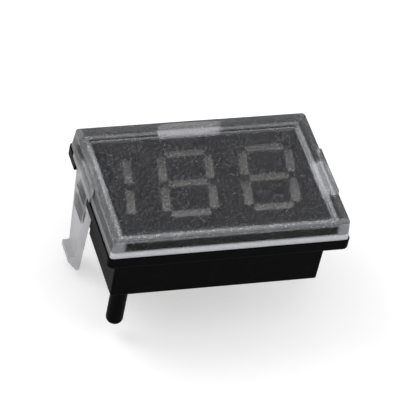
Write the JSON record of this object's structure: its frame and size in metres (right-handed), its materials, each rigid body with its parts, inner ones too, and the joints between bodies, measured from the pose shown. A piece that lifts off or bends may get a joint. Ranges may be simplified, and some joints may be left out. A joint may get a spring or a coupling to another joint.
{
  "type": "display panel",
  "caption": "Dishwasher digit display: frosted clear cap with snap clips over a black housing with slotted light mask, board and rear connector.",
  "frame": {"origin": "centre of the flange's underside, where the panel seats on the appliance fascia, inside the box behind the flange", "axes": "+Z out of the display face, +X along the row of digits towards the units digit, +Y towards the tops of the digits"},
  "size_m": [0.0396, 0.0265, 0.0219],
  "materials": {
    "frosted_clear": "frosted",
    "black_housing": "fine moulded texture",
    "mask_black": "matte",
    "light_bar": "milky",
    "chip_resin": "clear yellow resin",
    "board_green": "solder mask",
    "connector_white": "natural nylon",
    "tinned_metal": "tinned",
    "chip_black": "moulded epoxy",
    "can_metal": "satin"
  },
  "bodies": {
    "root": {"display_window": "frosted_clear", "housing": "black_housing", "circuit_board": "board_green", "light_mask": "mask_black", "light_bar_hundreds_b": "light_bar", "light_bar_hundreds_c": "light_bar", "light_bar_tens_a": "light_bar", "light_bar_tens_b": "light_bar", "light_bar_tens_c": "light_bar", "light_bar_tens_d": "light_bar", "light_bar_tens_e": "light_bar", "light_bar_tens_f": "light_bar", "light_bar_tens_g": "light_bar", "light_bar_units_a": "light_bar", "light_bar_units_b": "light_bar", "light_bar_units_c": "light_bar", "light_bar_units_d": "light_bar", "light_bar_units_e": "light_bar", "light_bar_units_f": "light_bar", "light_bar_units_g": "light_bar", "light_dot": "light_bar", "light_chips_hundreds": "chip_resin", "light_chips_tens": "chip_resin", "light_chips_units": "chip_resin", "light_chip_dot": "chip_resin", "connector_shell": "connector_white", "connector_pins": "tinned_metal", "driver_chip": "chip_black", "driver_leads": "tinned_metal", "resistors": "chip_black", "capacitor_can": "can_metal", "capacitor_base": "chip_black"}
  },
  "joints": []
}
